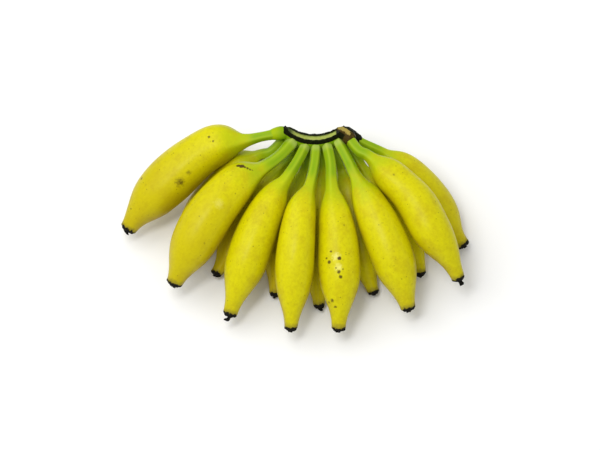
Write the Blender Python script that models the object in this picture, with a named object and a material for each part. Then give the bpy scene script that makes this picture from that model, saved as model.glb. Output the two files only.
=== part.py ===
"""A hand of short, plump bananas: fourteen fingers in two rows that hang from one cut crown.

The hand lies on a table with its hollow side down. The back row rests on the table, and the front row
lies in the gaps between the fingers of the back row. Every finger is one grown piece, from its stalk
in the crown to its dry blossom end.
"""
import math

import bmesh
import bpy
from mathutils import Matrix, Vector

MM = 0.001

# The fingers are drawn as they look from above, along a line of sight that leans over the hand.
SIGHT_LEAN = math.radians(65)
# The middle of the drawing, from the middle of the finished hand, in millimetres.
DRAWING_ACROSS = -0.42
DRAWING_BACK = 18.34

# The crown, in millimetres: a pad that curves round the bunch's stem, with the face where it was cut off.
CROWN_PLACE = (16.0, 55.2, 52.0)
CROWN_TILT = math.radians(36)
STEM_RADIUS = 34.0
PAD_ARC_RADIUS = 33.0
PAD_RADIUS = 11.5
PAD_END_RADIUS = 6.0
PAD_HALF_ANGLE = math.radians(44)
PAD_POINTS = 17
PAD_SIDES_STEP = 6

# Lobes of withered tissue at the crown's right end, round the last stalk of each row: how far along
# the stalk, and how thick.
LOBE_RINGS = {
    "front": ((-1.0, 5.6), (2.0, 6.2), (5.0, 5.9), (7.0, 5.0)),
    "back": ((2.5, 5.4), (7.0, 5.9), (12.0, 5.7), (15.0, 5.0)),
}

# Where the stalks of the two rows leave the crown, in degrees round the stem.
STALK_ANGLES = {
    "front": (-41, -24.5, -9.5, 2, 14.6, 27.5, 40.4),
    "back": (-32.5, -20.3, -8.1, 4.1, 16.3, 28.5, 40.7),
}
ROW_HALF_GAP = 5.6
ROOT_RADIUS_FROM_STEM = 38.0
ROOT_RADIUS = 3.4

# A gap that keeps each finger clear of the crown it grows from, in millimetres.
SOCKET_CLEARANCE = 0.3

# A finger's girth: share of the way from the neck to the tip, and share of the belly's radius.
GIRTH = (
    (0.00, 0.30),
    (0.04, 0.38),
    (0.09, 0.54),
    (0.16, 0.72),
    (0.25, 0.84),
    (0.35, 0.92),
    (0.46, 0.98),
    (0.56, 1.00),
    (0.65, 0.96),
    (0.73, 0.85),
    (0.80, 0.68),
    (0.86, 0.52),
    (0.92, 0.39),
    (0.97, 0.34),
    (0.99, 0.32),
    (1.00, 0.25),
)
# Where a finger's own shoulder and taper are widest, and how far they reach, as shares of the body.
SHOULDER_SHARE = 0.12
SHOULDER_REACH = 0.16
TAPER_SHARE = 0.80
TAPER_REACH = 0.20
# Rings of the stalk: share of the way to the neck, then how far its radius has gone from the root's to
# the stalk's own, and from there to the neck's.
STALK_STATIONS = (
    (0.00, 0.0, 0.0),
    (0.10, 0.3, 0.0),
    (0.22, 1.0, 0.0),
    (0.45, 1.0, 0.0),
    (0.70, 1.0, 0.2),
    (0.88, 1.0, 0.6),
)
FINGER_SIDES_STEP = 4
SPAN_SAMPLES = 12

# Each finger: the radius of its belly and of its stalk, how much fuller than the shared girth its own
# shoulder and taper are, and then points along its middle line. They come after the root, which the
# crown gives: half-way up the stalk, the neck, then down the body to the tip. A point is its place
# across the drawing, its place up the drawing and its height over the table, in millimetres.
FRONT_FINGERS = (
    ((19.6, 4.0, 0.15, 0.02),
     (-26, 73, 60), (-41, 69.5, 57.5), (-66, 65, 51), (-95, 43, 41), (-122, 15, 28), (-135.3, -3.2, 18)),
    ((19.8, 5.0, 0.08, 0.06),
     (-12, 57, 59), (-26, 47, 59), (-46, 35, 56), (-69, 8, 51), (-86, -23, 38), (-97, -47, 25)),
    ((18.0, 4.5, 0.0, -0.06),
     (3, 54, 56), (-7, 38, 56), (-15.5, 26, 52.5), (-31, -6, 44), (-42.5, -40, 33), (-52.3, -71.6, 19)),
    ((16.4, 4.4, 0.03, 0.0),
     (16, 51, 57), (12, 33, 59), (5, 13, 58), (1, -17, 51), (-1, -50, 36), (-3, -82.8, 21.5)),
    ((17.7, 4.5, 0.0, -0.05),
     (29, 51, 57), (30, 32, 57), (35, -14, 45), (36, -54, 33), (35, -83, 20)),
    ((18.2, 4.5, 0.0, 0.04),
     (43, 53, 58), (49, 40, 59), (71, -6, 46), (84, -41, 33), (91.3, -67, 21)),
    ((17.2, 4.6, 0.06, -0.04),
     (51, 62, 60), (62, 55, 60), (93, 25, 55), (109, -2, 49), (122, -22, 39), (132, -43, 27)),
)
BACK_FINGERS = (
    ((15.2, 4.2, 0.0, 0.0),
     (-18, 61, 47), (-29, 56.5, 42), (-52, 41, 29), (-73, 15, 16), (-85, -10, 12), (-92, -32, 7)),
    ((14.6, 4.4, 0.0, 0.0),
     (-3, 57, 42), (-11, 48, 37), (-30, 23, 26), (-46, -4, 15), (-56, -25, 11), (-64, -38.8, 7)),
    ((14.0, 4.5, 0.0, 0.0),
     (10, 55, 41), (7, 45, 35), (-1.5, 25, 24.5), (-10, -4, 15.7), (-14, -36, 10.3), (-16, -55.8, 4.6)),
    ((14.4, 4.5, 0.0, 0.0),
     (22, 54, 43), (22, 45, 40), (20, -6, 17.5), (19, -42, 11), (20, -65, 4.6)),
    ((14.2, 4.5, 0.0, 0.0),
     (34.5, 55, 41), (37.3, 45, 34), (43.5, 25, 26), (50.5, -3, 16), (57, -32, 10.5), (64, -54, 4.6)),
    ((14.2, 4.5, 0.0, 0.0),
     (47, 60, 45), (54.5, 48.5, 42), (69, 25, 31), (87, -3, 15), (97, -23, 11), (102, -39, 7)),
    ((15.0, 4.0, 0.0, 0.0),
     (53, 71, 49), (72, 60, 42), (94, 40, 29), (114, 16, 14.6), (128, -4, 10.9), (137.5, -15.8, 7)),
)

PEEL_YELLOW = (0.76, 0.70, 0.01)
CROWN_GREEN = (0.20, 0.22, 0.05)
PEEL_ROUGHNESS = 0.45
CROWN_ROUGHNESS = 0.8


def make_collection(name):
    """Return a new collection, linked to the scene."""
    collection = bpy.data.collections.new(name)
    bpy.context.scene.collection.children.link(collection)
    return collection


def make_material(name, colour, roughness):
    """Return a Principled material with one plain colour."""
    material = bpy.data.materials.new(name)
    material.use_nodes = True
    shader = material.node_tree.nodes["Principled BSDF"]
    shader.inputs["Base Color"].default_value = (*colour, 1.0)
    shader.inputs["Roughness"].default_value = roughness
    shader.inputs["Metallic"].default_value = 0.0
    return material


def drawn_point(across, up, height):
    """Return the place in millimetres of a point of the drawing that lies at a height over the table."""
    back = (up - height * math.cos(SIGHT_LEAN)) / math.sin(SIGHT_LEAN)
    return Vector((across + DRAWING_ACROSS, back + DRAWING_BACK, height))


def crown_matrix():
    """Return the crown's place: its own Y points into the stem, and its own Z along the stem."""
    place = Vector(CROWN_PLACE) + Vector((DRAWING_ACROSS, DRAWING_BACK, 0))
    return Matrix.Translation(place) @ Matrix.Rotation(CROWN_TILT, 4, "X")


def round_stem(radius, angle, along):
    """Return a point round the stem, in the crown's own axes."""
    return Vector((radius * math.sin(angle), STEM_RADIUS - radius * math.cos(angle), along))


def root_point(row, number):
    """Return where a finger's stalk starts, inside the crown."""
    angle = math.radians(STALK_ANGLES[row][number])
    along = ROW_HALF_GAP if row == "front" else -ROW_HALF_GAP
    return crown_matrix() @ round_stem(ROOT_RADIUS_FROM_STEM, angle, along)


def smooth_span(before, start, end, after, share):
    """Return a point between start and end on a smooth curve through all four points."""
    return 0.5 * (
        2 * start
        + (end - before) * share
        + (2 * before - 5 * start + 4 * end - after) * share ** 2
        + (3 * start - before - 3 * end + after) * share ** 3
    )


def smooth_path(points):
    """Return a smooth path through the points, with even samples in every span."""
    ends = [2 * points[0] - points[1], *points, 2 * points[-1] - points[-2]]
    path = []
    for before, start, end, after in zip(ends, ends[1:], ends[2:], ends[3:]):
        path += [smooth_span(before, start, end, after, i / SPAN_SAMPLES) for i in range(SPAN_SAMPLES)]
    return path + [points[-1]]


def point_on_path(path, share):
    """Return the point at a share of the path's length."""
    lengths = [0.0]
    for start, end in zip(path, path[1:]):
        lengths.append(lengths[-1] + (end - start).length)
    wanted = share * lengths[-1]
    for i in range(1, len(path)):
        if lengths[i] >= wanted:
            part = (wanted - lengths[i - 1]) / (lengths[i] - lengths[i - 1])
            return path[i - 1].lerp(path[i], part)
    return path[-1]


def swell(share, middle, reach):
    """Return how much of a swelling there is at a share: 1 at its middle, easing to 0 at its reach."""
    away = min(abs(share - middle) / reach, 1.0)
    return math.cos(away * math.pi / 2) ** 2


def finger_path(row, number):
    """Return a finger's middle line, from its root in the crown to its tip."""
    drawn = (FRONT_FINGERS if row == "front" else BACK_FINGERS)[number][1:]
    return smooth_path([root_point(row, number)] + [drawn_point(*point) for point in drawn])


def finger_rings(row, number):
    """Return a finger's rings, from the root to the tip, each as its middle and its radius."""
    belly, stalk, shoulder, taper = (FRONT_FINGERS if row == "front" else BACK_FINGERS)[number][0]
    path = finger_path(row, number)
    neck = 2 * SPAN_SAMPLES
    neck_radius = GIRTH[0][1] * belly
    rings = []
    for share, to_stalk, to_neck in STALK_STATIONS:
        radius = ROOT_RADIUS + (stalk - ROOT_RADIUS) * to_stalk + (neck_radius - stalk) * to_neck
        rings.append((point_on_path(path[:neck + 1], share), radius))
    for share, girth in GIRTH:
        girth += shoulder * swell(share, SHOULDER_SHARE, SHOULDER_REACH)
        girth += taper * swell(share, TAPER_SHARE, TAPER_REACH)
        rings.append((point_on_path(path[neck:], share), girth * belly))
    return rings


def tube_mesh(name, rings, sides_step):
    """Return the mesh of a closed tube through the rings, made as a bevelled curve."""
    curve = bpy.data.curves.new(name, "CURVE")
    curve.dimensions = "3D"
    curve.bevel_depth = MM
    curve.bevel_resolution = sides_step
    curve.use_fill_caps = True
    spline = curve.splines.new("POLY")
    spline.points.add(len(rings) - 1)
    for point, (middle, radius) in zip(spline.points, rings):
        point.co = (*(middle * MM), 1.0)
        point.radius = radius
    drawn = bpy.data.objects.new(name, curve)
    bpy.context.scene.collection.objects.link(drawn)
    evaluated = drawn.evaluated_get(bpy.context.evaluated_depsgraph_get())
    mesh = bpy.data.meshes.new_from_object(evaluated)
    bpy.data.objects.remove(drawn)
    tube = bmesh.new()
    tube.from_mesh(mesh)
    bmesh.ops.remove_doubles(tube, verts=tube.verts, dist=0.01 * MM)
    flatten_on_table(tube)
    bmesh.ops.recalc_face_normals(tube, faces=tube.faces)
    tube.to_mesh(mesh)
    tube.free()
    return mesh


def flatten_on_table(solid):
    """Cut off what would lie below the table, which leaves a small flat spot to rest on."""
    if min(vert.co.z for vert in solid.verts) >= 0.0:
        return
    everything = solid.verts[:] + solid.edges[:] + solid.faces[:]
    cut = bmesh.ops.bisect_plane(
        solid, geom=everything, plane_co=(0, 0, 0), plane_no=(0, 0, -1), clear_outer=True,
    )
    rim = [part for part in cut["geom_cut"] if isinstance(part, bmesh.types.BMEdge)]
    bmesh.ops.holes_fill(solid, edges=rim)


def place_object(name, mesh, collection, material):
    """Return a new smooth-shaded object that shows the mesh."""
    piece = bpy.data.objects.new(name, mesh)
    collection.objects.link(piece)
    mesh.materials.clear()
    mesh.materials.append(material)
    mesh.shade_smooth()
    mesh.set_sharp_from_angle(angle=math.radians(40))
    return piece


def cut_away(piece, cutters):
    """Take a collection of cutters away from a piece."""
    cut = piece.modifiers.new("cut", "BOOLEAN")
    cut.operation = "DIFFERENCE"
    cut.operand_type = "COLLECTION"
    cut.collection = cutters
    cut.solver = "EXACT"


def hide_helper(helper):
    """Show a cutter or an addition as wire only."""
    helper.hide_render = True
    helper.display_type = "WIRE"


def make_finger(row, number, collection, material):
    """Make one finger, with its stalk and its blossom end."""
    name = f"{row}_finger_{number + 1}"
    mesh = tube_mesh(name, finger_rings(row, number), FINGER_SIDES_STEP)
    return place_object(name, mesh, collection, material)


def make_socket_cutter(row, number, cutters):
    """Make the slightly fatter copy of a stalk's root that leaves its socket in the crown."""
    name = f"socket_{row}_{number + 1}"
    stalk = finger_rings(row, number)[:len(STALK_STATIONS)]
    (root, root_radius), (following, _) = stalk[0], stalk[1]
    behind = root + (root - following).normalized() * SOCKET_CLEARANCE
    fat = [(behind, root_radius + SOCKET_CLEARANCE)]
    fat += [(middle, radius + SOCKET_CLEARANCE) for middle, radius in stalk[1:]]
    mesh = tube_mesh(name, fat, FINGER_SIDES_STEP)
    cutter = bpy.data.objects.new(name, mesh)
    cutters.objects.link(cutter)
    hide_helper(cutter)


def make_stem_cutter(cutters):
    """Make the round stem that the crown was cut from."""
    mesh = bpy.data.meshes.new("stem_cut")
    solid = bmesh.new()
    place = crown_matrix()
    bmesh.ops.create_cone(
        solid, cap_ends=True, segments=48, radius1=STEM_RADIUS * MM, radius2=STEM_RADIUS * MM,
        depth=6 * PAD_RADIUS * MM, matrix=Matrix.Translation((0, STEM_RADIUS * MM, 0)),
    )
    place.translation *= MM
    solid.transform(place)
    solid.to_mesh(mesh)
    solid.free()
    cutter = bpy.data.objects.new("stem_cut", mesh)
    cutters.objects.link(cutter)
    hide_helper(cutter)


def make_lobe(row, collection, material):
    """Make a withered lobe at the crown's right end, as a short tube along a row's last stalk."""
    path = finger_path(row, len(BACK_FINGERS) - 1)[:2 * SPAN_SAMPLES + 1]
    path[0] += (path[0] - path[1]).normalized() * 2
    length = sum((end - start).length for start, end in zip(path, path[1:]))
    rings = [(point_on_path(path, (reach + 2) / length), radius) for reach, radius in LOBE_RINGS[row]]
    name = f"lobe_{row}"
    lobe = place_object(name, tube_mesh(name, rings, PAD_SIDES_STEP), collection, material)
    hide_helper(lobe)
    return lobe


def make_crown(collection, additions, cutters, material):
    """Make the crown: a pad bent round the stem, with its cut face and the stalks' sockets."""
    rings = []
    for i in range(PAD_POINTS):
        share = 2 * i / (PAD_POINTS - 1) - 1
        middle = crown_matrix() @ round_stem(PAD_ARC_RADIUS, share * PAD_HALF_ANGLE, 0)
        radius = PAD_RADIUS + (PAD_END_RADIUS - PAD_RADIUS) * share ** 6
        rings.append((middle, radius))
    mesh = tube_mesh("crown", rings, PAD_SIDES_STEP)
    crown = place_object("crown", mesh, collection, material)
    make_stem_cutter(cutters)
    for row in ("front", "back"):
        join = crown.modifiers.new(f"lobe_{row}", "BOOLEAN")
        join.operation = "UNION"
        join.object = make_lobe(row, additions, material)
        join.solver = "EXACT"
        for number in range(len(FRONT_FINGERS)):
            make_socket_cutter(row, number, cutters)
    cut_away(crown, cutters)


def main():
    for old in list(bpy.data.objects):
        bpy.data.objects.remove(old)
    hand = make_collection("banana_hand")
    additions = make_collection("additions")
    cutters = make_collection("cutters")
    peel = make_material("banana_peel", PEEL_YELLOW, PEEL_ROUGHNESS)
    crown_skin = make_material("crown_skin", CROWN_GREEN, CROWN_ROUGHNESS)
    make_crown(hand, additions, cutters, crown_skin)
    for row in ("front", "back"):
        for number in range(len(FRONT_FINGERS)):
            make_finger(row, number, hand, peel)


if __name__ == "__main__":
    main()
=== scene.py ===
"""The looks of a hand of short, plump bananas that lies on a table, hollow side down.

Every banana is drawn straight, ring by ring, and then bent along its own middle line. The crown is
spun round the stem that it was cut from.
"""
import math
import random

import bpy
from bpy.props import FloatProperty, FloatVectorProperty, IntProperty, PointerProperty
from bpy.types import Operator, Panel, PropertyGroup
from mathutils import Matrix, Vector, noise


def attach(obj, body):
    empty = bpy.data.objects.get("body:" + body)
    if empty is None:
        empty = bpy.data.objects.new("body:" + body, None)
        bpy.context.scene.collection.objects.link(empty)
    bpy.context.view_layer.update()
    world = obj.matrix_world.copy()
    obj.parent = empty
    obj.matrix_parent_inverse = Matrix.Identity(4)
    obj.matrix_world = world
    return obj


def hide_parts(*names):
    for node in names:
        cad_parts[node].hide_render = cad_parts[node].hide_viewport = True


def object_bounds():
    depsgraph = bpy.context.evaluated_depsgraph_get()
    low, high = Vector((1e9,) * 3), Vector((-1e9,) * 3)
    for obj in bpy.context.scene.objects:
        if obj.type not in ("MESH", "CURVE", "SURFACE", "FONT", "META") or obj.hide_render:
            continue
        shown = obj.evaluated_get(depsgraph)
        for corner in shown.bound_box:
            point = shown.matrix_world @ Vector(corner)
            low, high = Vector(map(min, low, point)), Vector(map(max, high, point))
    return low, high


bl_info = {
    "name": "Hand of bananas",
    "version": (1, 0, 0),
    "blender": (4, 5, 0),
    "location": "3D View > Sidebar > Bananas",
    "description": "Models a hand of short, plump bananas on its cut crown",
    "category": "Add Mesh",
}

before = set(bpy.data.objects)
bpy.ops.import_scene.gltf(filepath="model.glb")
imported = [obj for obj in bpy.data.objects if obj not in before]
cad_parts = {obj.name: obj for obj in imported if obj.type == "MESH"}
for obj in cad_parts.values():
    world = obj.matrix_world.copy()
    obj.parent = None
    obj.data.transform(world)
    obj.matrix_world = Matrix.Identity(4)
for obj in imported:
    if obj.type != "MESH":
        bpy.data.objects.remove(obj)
CAD_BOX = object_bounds()

MM = 0.001

# The fingers are drawn as they look from above, along a line of sight that leans over the hand.
SIGHT_LEAN = math.radians(65)
SIGHT_HEIGHT = 400
DRAWING_ACROSS = -0.42
DRAWING_BACK = 18.34

# The crown: a pad that curves round the bunch's stem, with the face where it was cut off.
CROWN_PLACE = (16.0, 55.2, 52.0)
CROWN_TILT = math.radians(36)
STEM_RADIUS = 34.0
PAD_ARC_RADIUS = 33.0
PAD_RADIUS = 11.5
PAD_END_RADIUS = 6.0
PAD_HALF_ANGLE = math.radians(44)
PAD_SIDES = 32
PAD_STEPS = 36
STEM_SIDES = 128
RELAX_ROUNDS = 14

# Where the stalks of the two rows leave the crown, in degrees round the stem. The rows' lines lie so many
# millimetres above and below the crown's middle.
STALK_ANGLES = {
    "front": (-41, -24.5, -9.5, 2, 14.6, 27.5, 40.4),
    "back": (-32.5, -20.3, -8.1, 4.1, 16.3, 28.5, 40.7),
}
ROW_HALF_GAP = 5.6
ROOT_RADIUS_FROM_STEM = 38.0
ROOT_RADIUS = 3.4

# Some stalks are fatter where they leave the crown, by so many millimetres.
ROOT_FLARE = {"front_finger_1": 0.9, "front_finger_2": 0.4}

# Lobes of the crown round a stalk, of green tissue at its left end and of withered tissue at its right
# end: how far along the stalk, from a little before its root, and how thick.
LOBE_LEAD = 5.0
LOBES = {
    ("front", 0): ((1.0, 2.5), (3.0, 4.2), (5.0, 5.3), (8.0, 5.6), (11.0, 5.2), (14.0, 4.6), (16.0, 3.6)),
    ("front", 6): ((1.0, 2.4), (3.0, 4.4), (5.0, 5.5), (7.5, 6.0), (10.5, 5.9), (13.0, 5.4), (14.5, 4.4)),
    ("back", 6): ((3.0, 2.6), (5.0, 3.8), (8.0, 4.6), (12.0, 5.0), (16.0, 4.9), (19.0, 4.6), (20.5, 3.6)),
}
# Faces round a lobe before it is grown together with the pad.
LOBE_SIDES = 24
# Where the lobes are charred: a line across the drawing along their upper edge, from left to right.
CHARRED_EDGE = ((39.2, 82.1), (53.2, 73.1))

# A finger's girth: share of the way from the neck to the tip, and share of the belly's radius.
GIRTH = (
    (0.00, 0.30), (0.03, 0.355), (0.07, 0.48), (0.12, 0.635), (0.19, 0.775),
    (0.28, 0.87), (0.38, 0.945), (0.48, 0.985), (0.57, 1.00), (0.65, 0.96),
    (0.72, 0.87), (0.78, 0.735), (0.83, 0.60), (0.88, 0.47), (0.925, 0.39),
    (0.95, 0.365), (0.970, 0.35), (0.982, 0.315), (0.991, 0.25), (0.997, 0.165),
    (1.00, 0.08),
)
# Where a finger's own shoulder and taper are widest, and how far they reach, as shares of the body.
SHOULDER_SHARE = 0.12
SHOULDER_REACH = 0.16
TAPER_SHARE = 0.80
TAPER_REACH = 0.20
# Rings of the stalk: share of the way to the neck, then how far its radius has gone from the root's to
# the stalk's own, and from there to the neck's.
STALK_STATIONS = (
    (0.00, 0.0, 0.0), (0.10, 0.9, 0.0), (0.22, 1.08, 0.0), (0.36, 1.0, 0.0),
    (0.54, 1.0, 0.05), (0.72, 1.0, 0.25), (0.88, 1.0, 0.6),
)

# Each finger: the radius of its belly and of its stalk, how much fuller than the shared girth its own
# shoulder and taper are, and then points along its middle line. They come after the root, which the
# crown gives: half-way up the stalk, the neck, then down the body to the tip. A point is its place
# across the drawing, its place up the drawing and its height over the table, in millimetres.
FINGERS = {
    "front": (
        ((20.6, 4.0, 0.15, 0.04),
         (-26, 73, 60), (-41, 69.5, 57.5), (-66, 65, 51), (-95, 43, 41), (-122, 15, 28), (-135.3, -3.2, 18)),
        ((20.2, 5.0, 0.08, 0.06),
         (-12, 57, 59), (-26, 47, 59), (-46, 35, 56), (-69, 8, 51), (-86, -23, 38), (-97, -47, 25)),
        ((18.0, 4.5, 0.0, -0.06),
         (3, 54, 56), (-7, 38, 56), (-15.5, 26, 52.5), (-31, -6, 44), (-42.5, -40, 33), (-52.3, -71.6, 19)),
        ((16.4, 4.4, 0.03, 0.0),
         (16, 51, 57), (12, 33, 59), (5, 13, 58), (1, -17, 51), (-1, -50, 36), (-3, -82.8, 21.5)),
        ((17.7, 4.5, 0.0, -0.05),
         (29, 51, 57), (30, 32, 57), (35, -14, 45), (36, -54, 33), (35, -83, 20)),
        ((18.2, 4.5, 0.0, 0.04),
         (43, 53, 58), (49, 40, 59), (71, -6, 46), (84, -41, 33), (91.3, -67, 21)),
        ((17.3, 4.6, 0.13, -0.04),
         (51, 62, 60), (62, 55, 60), (93, 25, 55), (109, -2, 49), (122, -22, 39), (132, -43, 27)),
    ),
    "back": (
        ((15.2, 4.7, 0.28, 0.0),
         (-18, 61, 47), (-30, 57, 42), (-52, 42, 29), (-73, 15, 16), (-85, -10, 12), (-92, -32, 7)),
        ((14.4, 4.4, 0.0, 0.0),
         (-3, 57, 42), (-11, 48, 37), (-30, 23, 26), (-46, -4, 15), (-56, -25, 11), (-64, -38.8, 7)),
        ((14.0, 4.5, 0.0, 0.0),
         (10, 55, 41), (7, 45, 35), (-1.5, 25, 24.5), (-10, -4, 15.7), (-14, -36, 10.3), (-16, -55.8, 4.6)),
        ((14.4, 4.5, 0.0, 0.0),
         (22, 54, 43), (22, 45, 40), (20, -6, 17.5), (19, -42, 11), (20, -65, 4.6)),
        ((14.2, 4.5, 0.18, 0.0),
         (34.5, 55, 41), (38.3, 45, 34), (43.5, 25, 26), (50.5, -3, 16), (57, -32, 10.5), (64, -54, 4.6)),
        ((14.2, 4.5, 0.0, 0.0),
         (47, 60, 45), (54.5, 48.5, 42), (69, 25, 31), (87, -3, 15), (97, -23, 11), (102, -39, 7)),
        ((15.8, 4.0, 0.05, 0.0),
         (52, 69.2, 49), (72, 59, 42), (95, 41.5, 30), (114.5, 17, 15.6), (128, -4, 10.9),
         (137.5, -15.8, 7)),
    ),
}
# The neck is the third point of the middle line, and each span has so many even samples.
NECK_POINT = 2
SPAN_SAMPLES = 24

# How far each finger is turned about its own line, in radians, and how far its patterns are moved, for
# every step of its number.
TURN_STEP = 0.4
PATTERN_STEP = 0.37
# Room that is left over the table, and between the crown's lip and the side of the CAD box, in metres.
TABLE_GAP = 0.00002
BOX_GAP = 0.00005

# How fine the skin's swellings are, and the crumpling of what is dry.
WAVE_SCALE = 42
CRUMPLE_SCALE = 420

# Where the lamps hang and what they and the camera look at. The camera's is a place in the drawing.
KEY_PLACE = (-0.62, 0.22, 1.24)
STRIP_PLACE = (-0.28, -0.24, 1.28)
LAMP_TARGET = (0, 0, 0.03)
CAMERA_TARGET = (4.4, 2.0, 36)

# Gloss of the peel, of the drier crown and of the floor.
PEEL_SPECULAR = 0.13
CROWN_SPECULAR = 0.06
FLOOR_SPECULAR = 0.1

# Tints that lie over the peel's main colours, as linear red, green and blue.
STREAK_OLIVE = (0.50, 0.50, 0.006)
BLOTCH_OCHRE = (0.50, 0.41, 0.002)
MOTTLE_DULL = (0.40, 0.33, 0.002)
MOTTLE_BRIGHT = (0.74, 0.70, 0.004)
TURNED_OCHRE = (0.44, 0.33, 0.002)
# Painted shade, laid on the sides that look away from the sky.
UNDERSIDE_PAINTED_SHADE = (0.31, 0.19, 0.002)
# Painted highlight, a paler green on the crests of the stalk's ridges.
RIDGE_PAINTED_HIGHLIGHT = (0.42, 0.53, 0.02)
# Painted highlight on the rounded tops of the stalks, next to the crown.
STALK_TOP_PAINTED_HIGHLIGHT = (0.55, 0.62, 0.20)
WITHERED_OLIVE = (0.20, 0.16, 0.015)
# Tints over the crown's main colours.
CROWN_GREEN = (0.20, 0.33, 0.008)
RIM_MOSS = (0.06, 0.08, 0.008)
FIBRE_GREEN = (0.28, 0.36, 0.05)
CUT_BUFF = (0.46, 0.46, 0.15)
CUT_SHADE = (0.06, 0.09, 0.01)
DRIED_BROWN = (0.055, 0.035, 0.006)

# How fine the patterns are, as the scales of their textures.
PEEL_GRAIN = {
    "clouds": 45.0,
    "blotches": 90.0,
    "frayed": 320.0,
    "specks": 330.0,
    "mottled": 380.0,
    "streaks": 420.0,
    "marks": 600.0,
    "pores": 900.0,
    "crust": 1100.0,
}
CROWN_GRAIN = {
    "clouds": 220.0,
    "torn": 520.0,
    "ragged": 900.0,
    "fibres": 900.0,
    "crust": 1300.0,
    "streaky": 1500.0,
}

# What is stored on the crown's points, and where some of it starts and ends: in degrees round the stem,
# or in millimetres across the drawing.
CROWN_MARKS = ("cut", "shade", "rim", "yellowed", "withered", "charred", "golden")
CUT_STARTS = (-41, -37)
CUT_ENDS = (29, 33)
SHADE_ENDS = (-36, -25)
WITHERED_STARTS = (27, 35)
LIP_ENDS = (33, 42)
RIM_STARTS = (-9.6, -8.0)
YELLOWED_ENDS = (-17.0, -8.0)


class BananaShape(PropertyGroup):
    """Sizes that change how the bananas are drawn."""

    sides: IntProperty(
        name="Sides", description="Faces round a finger before it is smoothed", default=20, min=10, max=40,
    )
    ridges: IntProperty(
        name="Ridges", description="Soft ridges that run along each finger", default=5, min=3, max=7,
    )
    stalk_ridge: FloatProperty(
        name="Stalk ridge", description="How far a ridge stands out on the stalk, as a share of its radius",
        default=0.13, min=0.0, max=0.4, subtype="FACTOR",
    )
    belly_ridge: FloatProperty(
        name="Belly ridge", description="How far a ridge stands out on the belly, as a share of its radius",
        default=0.012, min=0.0, max=0.1, subtype="FACTOR",
    )
    tip_ridge: FloatProperty(
        name="Tip ridge", description="How much more a ridge stands out near the tip",
        default=0.03, min=0.0, max=0.1, subtype="FACTOR",
    )
    fullness: FloatProperty(
        name="Fullness", description="Share of the finger's full radius that the skin keeps between ridges",
        default=0.99, min=0.8, max=1.0, subtype="FACTOR",
    )
    unevenness: FloatProperty(
        name="Unevenness", description="How far the skin swells and sinks", default=0.0004, unit="LENGTH",
    )
    crumpling: FloatProperty(
        name="Crumpling", description="How far the dry blossom end is crumpled", default=0.0011,
        unit="LENGTH",
    )


class PeelLook(PropertyGroup):
    """Colours of the peel."""

    stalk_green: FloatVectorProperty(
        name="Stalk green", description="Skin of the stalk", subtype="COLOR",
        default=(0.20, 0.36, 0.002), min=0.0, max=1.0,
    )
    neck_green: FloatVectorProperty(
        name="Neck green", description="Skin where the stalk widens into the body", subtype="COLOR",
        default=(0.40, 0.49, 0.003), min=0.0, max=1.0,
    )
    ripe_yellow: FloatVectorProperty(
        name="Ripe yellow", description="Skin of the belly", subtype="COLOR",
        default=(0.62, 0.57, 0.0006), min=0.0, max=1.0,
    )
    end_yellow: FloatVectorProperty(
        name="End yellow", description="Duller skin near the blossom end", subtype="COLOR",
        default=(0.50, 0.44, 0.003), min=0.0, max=1.0,
    )
    bruise_brown: FloatVectorProperty(
        name="Bruise brown", description="Spots, scars and bruises", subtype="COLOR",
        default=(0.075, 0.042, 0.003), min=0.0, max=1.0,
    )
    # Painted highlight: the pale colour of the patches of glare laid on some fingers.
    painted_highlight_pale: FloatVectorProperty(
        name="Scuff pale", description="Skin that was rubbed pale", subtype="COLOR",
        default=(0.88, 0.84, 0.26), min=0.0, max=1.0,
    )
    blossom_black: FloatVectorProperty(
        name="Blossom black", description="The dry blossom end", subtype="COLOR",
        default=(0.006, 0.005, 0.003), min=0.0, max=1.0,
    )
    roughness: FloatProperty(
        name="Roughness", description="Roughness of the waxy skin", default=0.36, min=0.0, max=1.0,
        subtype="FACTOR",
    )


class CrownLook(PropertyGroup):
    """Sizes and colours of the crown."""

    voxel: FloatProperty(
        name="Grain of the form", description="Size of the steps in which the crown is grown together",
        default=0.00045, unit="LENGTH",
    )
    lip_height: FloatProperty(
        name="Lip height", description="How far the far lip of the cut has curled up", default=0.0012,
        unit="LENGTH",
    )
    crumpling: FloatProperty(
        name="Crumpling", description="How far the dry rim and the withered lobes are crumpled",
        default=0.0005, unit="LENGTH",
    )
    rim_width: FloatProperty(
        name="Rim width", description="Width of the dry band along the front of the cut", default=0.0037,
        unit="LENGTH",
    )
    cut_cream: FloatVectorProperty(
        name="Cut cream", description="Fibrous face of the cut", subtype="COLOR",
        default=(0.38, 0.45, 0.08), min=0.0, max=1.0,
    )
    rim_black: FloatVectorProperty(
        name="Rim black", description="Dry band round the cut", subtype="COLOR",
        default=(0.005, 0.006, 0.001), min=0.0, max=1.0,
    )
    dry_tan: FloatVectorProperty(
        name="Dry tan", description="Withered tissue at the crown's end", subtype="COLOR",
        default=(0.36, 0.28, 0.06), min=0.0, max=1.0,
    )


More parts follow.
